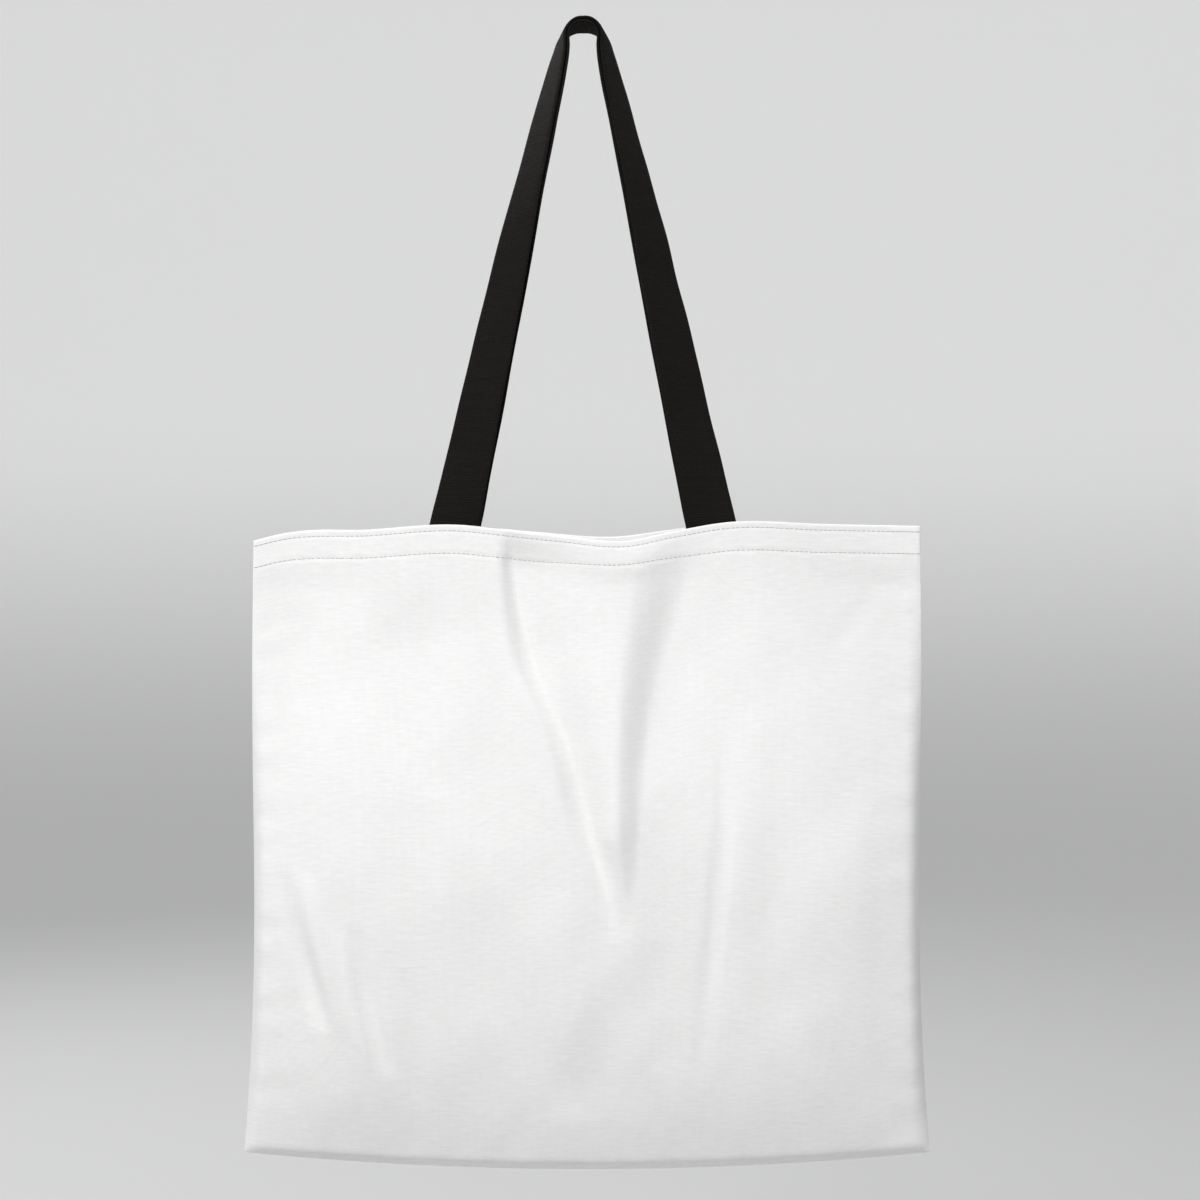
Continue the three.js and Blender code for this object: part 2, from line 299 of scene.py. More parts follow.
def seam_puckers(x, drop, side):
    """Small gathers that the thread pulls into the side and bottom seams."""
    near_side = np.exp(-((HALF - np.abs(x)) / (17 * MM)) ** 1.3)
    near_bottom = np.exp(-((BAG_HEIGHT - drop) / (15 * MM)) ** 1.3)
    left_right = np.where(x < 0, 0.0, 1.0)
    along_side = uneven(11 + side, 17 * MM, drop + left_right, (HALF - np.abs(x)) * 0.3)
    along_bottom = uneven(21 + side, 21 * MM, x, (BAG_HEIGHT - drop) * 0.4)
    inset = ease((HALF - np.abs(x)) / (6 * MM)) * ease((BAG_HEIGHT - drop) / (6 * MM))
    below_hem = ease((drop - HEM) / (12 * MM))
    return 0.55 * MM * inset * below_hem * (near_side * along_side + near_bottom * along_bottom)


def hem_puckers(x, drop, side):
    """The two rows of stitches draw the hem into fine upright ripples."""
    from_hem_row, from_edge_row = drop - HEM_ROW, drop - EDGE_ROW
    rows = np.exp(-(from_hem_row / (3.4 * MM)) ** 2) + 0.5 * np.exp(-(from_edge_row / (2 * MM)) ** 2)
    groove = np.exp(-(from_hem_row / (0.9 * MM)) ** 2) + np.exp(-(from_edge_row / (0.8 * MM)) ** 2)
    ripples = uneven(31 + side, 6.5 * MM, x, drop * 0.2, waves=6)
    away = ease((HALF - np.abs(x)) / (8 * MM))
    return away * (0.20 * MM * rows * ripples - 0.26 * MM * groove)


def depth(x, drop, side):
    blend = ease((drop - 20 * MM) / SHOULDER)
    total = mouth(x, drop, side) * (1 - blend) + belly(x, drop, side) * blend
    soft = ease((HALF - np.abs(x)) / (40 * MM)) * ease((BAG_HEIGHT - drop) / (40 * MM))
    soft = soft * ease((drop - 22 * MM) / (50 * MM))
    for line, width, amount in (FRONT_FOLDS if side < 0 else BACK_FOLDS):
        total = total + soft * fold(x, drop, line, width, amount)
    if side < 0:
        total = total + swag(x, drop)
    total = total + DIP_LEAN * dip(x, side) * (1 - ease(drop / (30 * MM)))
    total = total + soft * 0.8 * MM * uneven(41 + side, 120 * MM, x, drop)
    total = total + soft * 0.25 * MM * uneven(51 + side, 45 * MM, x, drop)
    total = total + seam_puckers(x, drop, side) + hem_puckers(x, drop, side)
    least = seam_depth(drop)
    return np.maximum(total, least)


# %% A point of the hanging cloth, and its outward direction
def cloth_point(x, drop, side, inset=0.0, lift=0.0, inside=None):
    """inset moves towards the bag's middle plane, lift moves up. inside is 0 in a seam's fold."""
    x, drop = np.broadcast_arrays(np.asarray(x, float), np.asarray(drop, float))
    out = depth(x, drop, side) - inset
    if inside is not None:
        out = SEAM_TOUCH + (out - SEAM_TOUCH) * inside
    return np.stack([spread_x(x, drop) + BAG_SHIFT, side * out, height(x, drop, side) + lift], -1)


def outward(x, drop, side, step=0.5 * MM):
    across = cloth_point(x + step, drop, side) - cloth_point(x - step, drop, side)
    down = cloth_point(x, drop + step, side) - cloth_point(x, np.maximum(drop - step, 0), side)
    normal = np.cross(across, down) * -side
    normal = np.where((normal[..., 1:2] * side) < 0, -normal, normal)
    return normal / np.linalg.norm(normal, axis=-1, keepdims=True)


check = cloth_point(np.array([-HALF, 0, HALF]), np.array([BAG_HEIGHT] * 3), -1)
print("bottom edge, left to right, in mm:", (check / MM).round(1).tolist())

# %% [markdown]
# ## Cloth with a thickness
# Each panel is one sheet of canvas. It starts inside the hem, folds over the top edge, hangs down the
# face of the bag and turns in at the side and bottom seams, as a bag does that was sewn inside out
# and then turned. The sheet is a grid of points with a second grid one cloth thickness away, closed
# round its raw edge. Its UV map is the flat cut in metres, so that the weave follows every fold.

# %% Closed sheets from a grid of points
def mesh_piece(name, points, faces, uv=None):
    """A smooth object from points and faces; a closed one has its faces turned outwards."""
    mesh = bpy.data.meshes.new(name)
    mesh.from_pydata(points.tolist(), [], [list(map(int, face)) for face in faces])
    if uv is not None:
        shell = bmesh.new()
        shell.from_mesh(mesh)
        bmesh.ops.recalc_face_normals(shell, faces=shell.faces)
        shell.to_mesh(mesh)
        shell.free()
    mesh.polygons.foreach_set("use_smooth", [True] * len(mesh.polygons))
    if uv is not None:
        corners = np.empty(len(mesh.loops), int)
        mesh.loops.foreach_get("vertex_index", corners)
        mesh.uv_layers.new(name="cut").data.foreach_set("uv", uv[corners].ravel())
    mesh.update()
    piece = bpy.data.objects.new(name, mesh)
    bpy.context.scene.collection.objects.link(piece)
    return piece


def quads(grid):
    """Faces between neighbouring entries of a grid of point numbers."""
    return np.stack([grid[:-1, :-1], grid[1:, :-1], grid[1:, 1:], grid[:-1, 1:]], -1).reshape(-1, 4)


def thick_sheet(name, middle, uv, thickness):
    """A closed sheet round a grid of middle points, half its thickness on each side of them."""
    normal = np.cross(np.gradient(middle, axis=1), np.gradient(middle, axis=0))
    size = np.linalg.norm(normal, axis=-1, keepdims=True)
    pinched = size < 1e-6 * size.max()
    normal = np.where(pinched, (0.0, 1.0, 0.0), normal / np.where(pinched, 1.0, size))
    outer = middle + normal * thickness / 2
    inner = middle - normal * thickness / 2
    rows, columns = middle.shape[:2]
    top = np.arange(rows * columns).reshape(rows, columns)
    under = top + rows * columns
    outer_faces, inner_faces = quads(top), quads(under)[:, ::-1]
    rim = np.concatenate([top[0, :-1], top[:-1, -1], top[-1, :0:-1], top[:0:-1, 0]])
    rim_under = rim + rows * columns
    following, following_under = np.roll(rim, -1), np.roll(rim_under, -1)
    edge_faces = np.stack([rim, following, following_under, rim_under], -1)
    faces = np.concatenate([outer_faces, inner_faces, edge_faces])
    flat_uv = uv.reshape(-1, 2)
    points = np.concatenate([outer.reshape(-1, 3), inner.reshape(-1, 3)])
    return mesh_piece(name, points, faces, np.concatenate([flat_uv, flat_uv]))


# %% Panels
FACE_STEP = 2.2 * MM
LAP = 1.8 * MM  # how far a panel's turned edge runs inside a seam before the allowance takes over
FOLD_STEPS = 6
HEM_ROWS, TOP_ROWS, FINE_ROWS, FACE_ROWS = 13, 8, 22, 158  # rows of points down a panel, part by part
FINE_REACH = HEM + 4 * MM  # the rows are close together down to here


def seam_turn(edge):
    """Places across a seam's fold, from the face to the lap inside: (place, inside, length)."""
    angles = np.linspace(0, math.pi, FOLD_STEPS + 1)
    place = edge - SEAM_FOLD + SEAM_FOLD * np.sin(angles)
    inside = (1 + np.cos(angles)) / 2
    lap = np.linspace(0, LAP, 3)[1:]
    place = np.concatenate([place, edge - SEAM_FOLD - lap])
    inside = np.concatenate([inside, np.zeros(len(lap))])
    length = edge - SEAM_FOLD + np.concatenate([SEAM_FOLD * angles, SEAM_FOLD * math.pi + lap])
    return place, inside, length


def panel_piece(name, side):
    count = int((HALF - SEAM_FOLD) / FACE_STEP)
    face = np.linspace(0, HALF - SEAM_FOLD, count + 1)[:-1]
    place, inside, length = seam_turn(HALF)
    x = np.concatenate([face, place])
    x_in = np.concatenate([np.ones(len(face)), inside])
    x_cut = np.concatenate([face, length])
    x = np.concatenate([-x[:0:-1], x])
    x_in = np.concatenate([x_in[:0:-1], x_in])
    x_cut = np.concatenate([-x_cut[:0:-1], x_cut])

    hem = np.linspace(HEM, 0, HEM_ROWS)
    angles = np.linspace(math.pi, 0, TOP_ROWS)[1:-1]
    fine = np.linspace(0, FINE_REACH, FINE_ROWS)
    coarse = np.linspace(FINE_REACH, BAG_HEIGHT - SEAM_FOLD, FACE_ROWS)[1:-1]
    place, inside, length = seam_turn(BAG_HEIGHT)
    fold_length = math.pi * HEM_FOLD
    drop = np.concatenate([hem, 0 * angles, fine, coarse, place])
    inset = np.concatenate([0 * hem + 2 * HEM_FOLD, HEM_FOLD * (1 - np.cos(angles)),
                            np.zeros(len(fine) + len(coarse) + len(place))])
    lift = np.concatenate([0 * hem, HEM_FOLD * np.sin(angles),
                           np.zeros(len(fine) + len(coarse) + len(place))])
    z_in = np.concatenate([np.ones(len(hem) + len(angles) + len(fine) + len(coarse)), inside])
    z_cut = np.concatenate([-fold_length - hem, -HEM_FOLD * angles, fine, coarse, length])

    points = cloth_point(x[None, :], drop[:, None], side, inset[:, None], lift[:, None],
                         x_in[None, :] * z_in[:, None])
    uv = np.stack(np.broadcast_arrays(x_cut[None, :], z_cut[:, None]), -1)
    return thick_sheet(name, points, uv, CLOTH)


panels = {"front": panel_piece("front_panel_cloth", -1), "back": panel_piece("back_panel_cloth", 1)}
for which, panel in panels.items():
    print(which, "panel:", len(panel.data.polygons), "faces")

# %% [markdown]
# ## Seam allowances
# Inside the bag the raw edges of both panels lie pressed together along each seam. They hardly show,
# but a look into the mouth finds them, so they are there, bound by an overlock thread further on.

# %% Seam allowances
ALLOWANCE_THICK = 1.5 * MM
LAP_GAP = 0.4 * MM  # between a panel's lap and the allowance that takes over from it
SEAM_END_GAP = 3 * MM
STRIP_COLUMNS, STRIP_ROWS = 4, 90
lap_end = HALF - SEAM_FOLD - LAP - LAP_GAP


def middle_point(x, drop):
    """A point on the plane between the panels."""
    x, drop = np.broadcast_arrays(np.asarray(x, float), np.asarray(drop, float))
    front, back = height(x, drop, -1), height(x, drop, 1)
    return np.stack([spread_x(x, drop) + BAG_SHIFT, 0 * x, (front + back) / 2], -1)


def allowance_piece(name, x, drop):
    cut = np.broadcast_arrays(x[None, :], drop[:, None])
    return thick_sheet(name, middle_point(*cut), np.stack(cut, -1), ALLOWANCE_THICK)


side_strip = np.linspace(HALF - ALLOWANCE, lap_end, STRIP_COLUMNS)
side_drop = np.linspace(HEM + SEAM_END_GAP, BAG_HEIGHT - SEAM_END_GAP, STRIP_ROWS)
bottom_reach = HALF - ALLOWANCE - 1.2 * MM
bottom_strip = np.linspace(BAG_HEIGHT - ALLOWANCE, BAG_HEIGHT - (HALF - lap_end), STRIP_COLUMNS)
bottom_run = np.linspace(-bottom_reach, bottom_reach, STRIP_ROWS)
allowances = {
    "left": allowance_piece("left_seam_cloth", -side_strip[::-1], side_drop),
    "right": allowance_piece("right_seam_cloth", side_strip, side_drop),
    "bottom": allowance_piece("bottom_seam_cloth", bottom_run, bottom_strip),
}
print("seam allowances:", list(allowances))

# %% [markdown]
# ## Webbing handles
# A handle is one length of 30 mm webbing, sewn flat behind the hem at both ends. From the hem it
# turns a quarter as it rises, so that it lies flat over the round peg. The front handle lies on top
# of the back one there. The ribbon is swept along that path with a cross rib every millimetre and a
# half, a real height on the mesh, so that the webbing catches the light as woven tape does.

# %% The path of a handle
STACK = 2.2 * MM  # from the middle of one handle to the next where they lie on each other
SEWN = TOP_Z - SEWN_Z
LOOP_RADIUS = PEG_RADIUS + WEB_THICK / 2 + STACK / 2
LEG_BOW = 2.6 * MM  # a leg stands this far outside a straight line
ROW_STEP = 0.75 * MM
# A leg turns a quarter on its way up, and then its back edge stands off the peg.
# The points are (share of a leg, degrees) and (share of a leg, millimetres).
QUARTER_TURN = [(0, 0), (0.05, 12), (0.15, 22), (0.25, 29), (0.36, 35), (0.46, 41), (0.565, 47.5),
                (0.67, 56), (0.78, 62), (0.87, 68), (0.93, 75), (0.956, 81), (0.98, 86), (1, 90)]
FLARE = [(0, 0), (0.78, 0), (0.87, 0.4), (0.93, 1.4), (0.956, 2.1), (0.972, 1.3), (1, 0.1)]


def leg_centre(distance, line, arc_start):
    """The right leg's centre line at a distance from the hem: a straight run, then the loop's arc."""
    foot, tangent, length = line
    t = np.clip(distance / length, 0, 1)[:, None]
    straight = foot * (1 - t) + tangent * t
    angle = arc_start + np.clip(distance - length, 0, None) / LOOP_RADIUS
    arc = np.stack([LOOP_RADIUS * np.cos(angle), LOOP_RADIUS * np.sin(angle) - PEG_RADIUS], -1)
    bow = LEG_BOW * np.sin(math.pi * t[:, 0] ** 1.5) ** 0.95
    flare = through(FLARE, distance / distance[-1])[:, None] * MM
    away = np.stack([np.cos(angle), np.sin(angle)], -1)
    centre = np.where((distance < length)[:, None], straight + np.stack([bow, 0 * bow], -1), arc)
    return centre + away * flare


def handle_frames(side):
    """Centre, width and face directions along one handle, from its left sewn end to its right one."""
    foot = np.array([HANDLE_X, TOP_Z])
    reach = foot - np.array([0, -PEG_RADIUS])
    distance_to_peg = np.linalg.norm(reach)
    arc_start = math.atan2(reach[1], reach[0]) + math.acos(LOOP_RADIUS / distance_to_peg)
    tangent = np.array([math.cos(arc_start), math.sin(arc_start)]) * LOOP_RADIUS - [0, PEG_RADIUS]
    length = np.linalg.norm(tangent - foot)
    total = length + (math.pi / 2 - arc_start) * LOOP_RADIUS
    free = np.linspace(0, total, int(total / ROW_STEP))
    xz = leg_centre(free, (foot, tangent, length), arc_start)
    t = free / total
    turn = np.radians(through(QUARTER_TURN, t))
    along = np.gradient(xz, axis=0)
    along[-1] = (-1, 0)
    along /= np.linalg.norm(along, axis=-1, keepdims=True)
    across = np.stack([np.cos(turn), np.sin(turn), 0 * turn], -1)
    up = np.stack([along[:, 0], 0 * turn, along[:, 1]], -1)
    face = np.cross(across, up)
    face /= np.linalg.norm(face, axis=-1, keepdims=True)
    opening = (2 * HANDLE_Y - STACK) * (1 - t) ** 2.5
    centre = np.stack([xz[:, 0], side * opening / 2, xz[:, 1]], -1) - face * side * STACK / 2
    drop = np.linspace(SEWN, 0, int(SEWN / ROW_STEP))[:-1]
    sewn = np.stack([HANDLE_X + HANDLE_SPLAY * drop, 0 * drop + side * HANDLE_Y, TOP_Z - drop], -1)
    centre = np.concatenate([sewn, centre])
    across = np.concatenate([np.tile([1.0, 0, 0], (len(drop), 1)), across])
    face = np.concatenate([np.tile([0, -1.0, 0], (len(drop), 1)), face])
    flip = np.array([-1, 1, 1])
    centre = np.concatenate([centre * flip, centre[-2::-1]])
    across = np.concatenate([across * flip, across[-2::-1]])
    face = np.concatenate([face * flip, face[-2::-1]])
    return centre, across, face


# %% Ribbons
RIB_HEIGHT = 0.05 * MM
SELVEDGE = 4.6 * MM  # width of the denser woven border along each edge
FACE_POINTS = 15


def web_profile():
    """Half the section, left to right: (across, thickness share, how much it is ribbed)."""
    w = np.linspace(-1, 1, FACE_POINTS)
    w = np.sign(w) * np.abs(w) ** 0.8
    groove = np.exp(-((np.abs(w) - (1 - SELVEDGE / (WEB_WIDTH / 2))) / 0.05) ** 2)
    thick = 1 - 0.10 * groove - 0.28 * np.abs(w) ** 14
    return w * (WEB_WIDTH / 2 - 0.4 * MM), thick * WEB_THICK / 2, 1 - groove


def handle_piece(name, side):
    centre, across, face = handle_frames(side)
    w, n, ribbed = web_profile()
    rib = RIB_HEIGHT * np.where(np.arange(len(centre)) % 2 == 0, 1, -1)[:, None] * ribbed[None, :]
    edge = WEB_WIDTH / 2
    front_w = np.concatenate([w, [edge], w[::-1], [-edge]])
    lengths = np.linalg.norm(np.diff(centre, axis=0), axis=-1)
    along = np.concatenate([[0], np.cumsum(lengths)])
    sag = 0.35 * MM * uneven(61 + side, 60 * MM, along)[:, None]
    front_n = n[None, :] + rib
    zero = np.zeros((len(centre), 1))
    height_n = np.concatenate([front_n, zero, -front_n[:, ::-1], zero], 1) + sag * (along[:, None] > 0)
    ring = (centre[:, None, :] - across[:, None, :] * front_w[None, :, None]
            + face[:, None, :] * height_n[..., None])
    size = len(front_w)
    rows = len(centre)
    number = np.arange(rows * size).reshape(rows, size)
    sides = quads(np.concatenate([number, number[:, :1]], 1))
    caps = []
    for row in (number[0], number[-1]):
        face_row, back_row = row[:FACE_POINTS], row[FACE_POINTS + 1:2 * FACE_POINTS + 1][::-1]
        caps += np.stack([face_row[:-1], face_row[1:], back_row[1:], back_row[:-1]], -1).tolist()
        caps.append([face_row[-1], row[FACE_POINTS], back_row[-1]])
        caps.append([back_row[0], row[-1], face_row[0]])
    uv = np.stack(np.broadcast_arrays(front_w[None, :], along[:, None]), -1).reshape(-1, 2)
    return mesh_piece(name, ring.reshape(-1, 3), [*sides.tolist(), *caps], uv), along[-1]


handles = {}
for which, side in (("front", -1), ("back", 1)):
    handles[which], web_length = handle_piece(f"{which}_handle_webbing", side)
    print(which, "handle:", round(web_length / MM), "mm of webbing")

# %% [markdown]
# ## Stitches
# A lockstitch shows as short threads in a row, each one a low arch that dives into the cloth at both
# ends. One Geometry Nodes tree makes every row: it spaces points along a line that lies on the cloth,
# stands a small arch on each and turns it to face outwards. The same tree, with its arches turned
# across the line, makes the overlock thread that wraps the raw seam edges.

# %% A tree that sews along a line
THREAD_WANDER = 0.10  # how far a stitch may turn from its row, in radians


def add_node(tree, kind, settings=None, **inputs):
    node = tree.nodes.new(kind)
    for key, value in (settings or {}).items():
        setattr(node, key, value)
    for key, value in inputs.items():
        socket = node.inputs[int(key[1:])] if key[1:].isdigit() else node.inputs[key.replace("_", " ")]
        if isinstance(value, bpy.types.NodeSocket):
            tree.links.new(value, socket)
        else:
            socket.default_value = value
    return node


def stitch_tree():
    tree = bpy.data.node_groups.new("sewn_row", "GeometryNodeTree")
    face = tree.interface
    face.new_socket("Geometry", in_out="INPUT", socket_type="NodeSocketGeometry")
    for name, start in (("Pitch", 0.0026), ("Length", 0.0023), ("Thickness", 0.0004),
                        ("Arch", 0.0003), ("Turn", 0.0)):
        face.new_socket(name, in_out="INPUT", socket_type="NodeSocketFloat").default_value = start
    face.new_socket("Seed", in_out="INPUT", socket_type="NodeSocketInt")
    face.new_socket("Thread", in_out="INPUT", socket_type="NodeSocketMaterial")
    face.new_socket("Geometry", in_out="OUTPUT", socket_type="NodeSocketGeometry")
    given = tree.nodes.new("NodeGroupInput").outputs
    line = add_node(tree, "GeometryNodeMeshToCurve", _0=given["Geometry"])
    spaced = add_node(tree, "GeometryNodeResampleCurve", {"mode": "LENGTH"},
                      Curve=line.outputs[0], Length=given["Pitch"])
    half = add_node(tree, "ShaderNodeMath", {"operation": "MULTIPLY"}, _0=given["Length"], _1=0.5)
    back = add_node(tree, "ShaderNodeMath", {"operation": "MULTIPLY"}, _0=given["Length"], _1=-0.5)
    sink = add_node(tree, "ShaderNodeMath", {"operation": "MULTIPLY"}, _0=given["Arch"], _1=-1.0)
    crest = add_node(tree, "ShaderNodeMath", {"operation": "MULTIPLY"}, _0=given["Arch"], _1=1.4)
    ends = [add_node(tree, "ShaderNodeCombineXYZ", X=x.outputs[0], Z=sink.outputs[0])
            for x in (back, half)]
    middle = add_node(tree, "ShaderNodeCombineXYZ", Z=crest.outputs[0])
    arch = add_node(tree, "GeometryNodeCurveQuadraticBezier", Resolution=6, Start=ends[0].outputs[0],
                    Middle=middle.outputs[0], End=ends[1].outputs[0])
    radius = add_node(tree, "ShaderNodeMath", {"operation": "MULTIPLY"}, _0=given["Thickness"], _1=0.5)
    section = add_node(tree, "GeometryNodeCurvePrimitiveCircle", Resolution=6, Radius=radius.outputs[0])
    thread = add_node(tree, "GeometryNodeCurveToMesh", Curve=arch.outputs[0],
                      Profile_Curve=section.outputs[0], Fill_Caps=True)
    tangent = add_node(tree, "GeometryNodeInputTangent")
    outside = add_node(tree, "GeometryNodeInputNamedAttribute", {"data_type": "FLOAT_VECTOR"},
                       Name="outside")
    lie = add_node(tree, "FunctionNodeAlignRotationToVector", {"axis": "X"}, Vector=tangent.outputs[0])
    stand = add_node(tree, "FunctionNodeAlignRotationToVector", {"axis": "Z", "pivot_axis": "X"},
                     Rotation=lie.outputs[0], Vector=outside.outputs[0])
    sewn = add_node(tree, "GeometryNodeInstanceOnPoints", Points=spaced.outputs[0],
                    Instance=thread.outputs[0], Rotation=stand.outputs[0])
    wander = add_node(tree, "FunctionNodeRandomValue", {"data_type": "FLOAT"}, Seed=given["Seed"])
    wander.inputs[2].default_value = -THREAD_WANDER
    wander.inputs[3].default_value = THREAD_WANDER
    turned = add_node(tree, "ShaderNodeMath", {"operation": "ADD"}, _0=wander.outputs[1], _1=given["Turn"])
    spin = add_node(tree, "ShaderNodeCombineXYZ", Z=turned.outputs[0])
    hand = add_node(tree, "GeometryNodeRotateInstances", Instances=sewn.outputs[0],
                    Rotation=spin.outputs[0])
    solid = add_node(tree, "GeometryNodeRealizeInstances", Geometry=hand.outputs[0])
    soft = add_node(tree, "GeometryNodeSetShadeSmooth", Geometry=solid.outputs[0])
    coloured = add_node(tree, "GeometryNodeSetMaterial", Geometry=soft.outputs[0],
                        Material=given["Thread"])
    out = tree.nodes.new("NodeGroupOutput")
    tree.links.new(coloured.outputs[0], out.inputs[0])
    return tree


SEW = stitch_tree()


def sew(name, lines, material, **sizes):
    """Stitches along one or more lines of (points, outside directions), as one plain mesh."""
    points = np.concatenate([line for line, _ in lines])
    outside = np.concatenate([away for _, away in lines])
    edges, first = [], 0
    for line, _ in lines:
        edges += [(k, k + 1) for k in range(first, first + len(line) - 1)]
        first += len(line)
    guide = bpy.data.meshes.new(name + "_line")
    guide.from_pydata(points.tolist(), edges, [])
    guide.attributes.new("outside", "FLOAT_VECTOR", "POINT").data.foreach_set("vector", outside.ravel())
    row = bpy.data.objects.new(name + "_line", guide)
    bpy.context.scene.collection.objects.link(row)
    sewing = row.modifiers.new("sewn row", "NODES")
    sewing.node_group = SEW
    sockets = {item.name: item.identifier for item in SEW.interface.items_tree if item.in_out == "INPUT"}
    for key, value in {**sizes, "Thread": material}.items():
        sewing[sockets[key]] = value
    evaluated = row.evaluated_get(bpy.context.evaluated_depsgraph_get())
    mesh = bpy.data.meshes.new_from_object(evaluated)
    bpy.data.objects.remove(row)
    mesh.name = name
    piece = bpy.data.objects.new(name, mesh)
    bpy.context.scene.collection.objects.link(piece)
    return piece


# %% [markdown]
# ## Materials
# Every finish is made of the same few effects: a plain weave, threads of uneven thickness, and the
# faint greyness that handling leaves. Each effect is a node group with named inputs. Each material
# sets its own values and feeds them to the colour, the roughness and the bump of its shader.

# %% Node group: plain weave
def new_group(name, inputs, outputs):
    group = bpy.data.node_groups.new(name, "ShaderNodeTree")
    for label, kind, start in inputs:
        socket = group.interface.new_socket(label, in_out="INPUT", socket_type=kind)
        if start is not None:
            socket.default_value = start
    for label, kind in outputs:
        group.interface.new_socket(label, in_out="OUTPUT", socket_type=kind)
    return group, group.nodes.new("NodeGroupInput").outputs, group.nodes.new("NodeGroupOutput").inputs


def maths(tree, operation, first, second=None, third=None):
    node = tree.nodes.new("ShaderNodeMath")
    node.operation = operation
    for socket, value in zip(node.inputs, (first, second, third)):
        if isinstance(value, bpy.types.NodeSocket):
            tree.links.new(value, socket)
        elif value is not None:
            socket.default_value = value
    return node.outputs[0]


def weave_group():
    """Height of a plain weave, the gaps between its threads, and its thick and thin threads."""
    tree, given, out = new_group(
        "plain_weave",
        [("Place", "NodeSocketVector", None), ("Across", "NodeSocketFloat", 1400.0),
         ("Along", "NodeSocketFloat", 1400.0), ("Wander", "NodeSocketFloat", 0.25)],
        [("Height", "NodeSocketFloat"), ("Gap", "NodeSocketFloat"), ("Slub", "NodeSocketFloat")],
    )
    place = add_node(tree, "ShaderNodeSeparateXYZ", _0=given["Place"])
    u = maths(tree, "MULTIPLY", place.outputs[0], given["Across"])
    v = maths(tree, "MULTIPLY", place.outputs[1], given["Along"])
    counted = add_node(tree, "ShaderNodeCombineXYZ", _0=u, _1=v)
    wobble = add_node(tree, "ShaderNodeTexNoise", Vector=counted.outputs[0], Scale=0.11, Detail=3.0)
    shift = maths(tree, "MULTIPLY", maths(tree, "SUBTRACT", wobble.outputs[0], 0.5), given["Wander"])
    shift = maths(tree, "MULTIPLY", shift, 4.0)
    across = maths(tree, "SINE", maths(tree, "MULTIPLY", maths(tree, "ADD", u, shift), math.pi))
    along = maths(tree, "SINE", maths(tree, "MULTIPLY", maths(tree, "ADD", v, shift), math.pi))
    warp_up = maths(tree, "GREATER_THAN", maths(tree, "MULTIPLY", across, along), 0.0)
    warp = maths(tree, "ABSOLUTE", across)
    weft = maths(tree, "ABSOLUTE", along)
    over = maths(tree, "MULTIPLY", warp, maths(tree, "MULTIPLY_ADD", weft, 0.5, 0.5))
    under = maths(tree, "MULTIPLY", weft, maths(tree, "MULTIPLY_ADD", warp, 0.5, 0.5))
    mixed = add_node(tree, "ShaderNodeMix", _0=warp_up, _2=under, _3=over)
    tree.links.new(mixed.outputs[0], out["Height"])
    gap = maths(tree, "SUBTRACT", 1.0, maths(tree, "MAXIMUM", warp, weft))
    tree.links.new(maths(tree, "POWER", gap, 0.7), out["Gap"])
    streak = add_node(tree, "ShaderNodeMapping", Vector=counted.outputs[0])
    streak.inputs["Scale"].default_value = (0.07, 0.50, 1.0)
    weft_slub = add_node(tree, "ShaderNodeTexNoise", Vector=streak.outputs[0], Scale=1.0, Detail=2.0)
    rise = add_node(tree, "ShaderNodeMapping", Vector=counted.outputs[0])
    rise.inputs["Scale"].default_value = (0.50, 0.04, 1.0)
    warp_slub = add_node(tree, "ShaderNodeTexNoise", Vector=rise.outputs[0], Scale=1.0, Detail=2.0)
    share = maths(tree, "MULTIPLY_ADD", warp_slub.outputs[0], 0.20, maths(tree, "MULTIPLY",
                  weft_slub.outputs[0], 0.80))
    tree.links.new(share, out["Slub"])
    return tree


def handling_group():
    """Broad, faint mottling from 0 to 1, as cloth shows where it has been folded and held."""
    tree, given, out = new_group(
        "handling", [("Place", "NodeSocketVector", None), ("Spread", "NodeSocketFloat", 9.0)],
        [("Mottle", "NodeSocketFloat")])
    broad = add_node(tree, "ShaderNodeTexNoise", Vector=given["Place"], Scale=given["Spread"], Detail=4.0)
    tree.links.new(broad.outputs[0], out["Mottle"])
    return tree


WEAVE = weave_group()
HANDLING = handling_group()


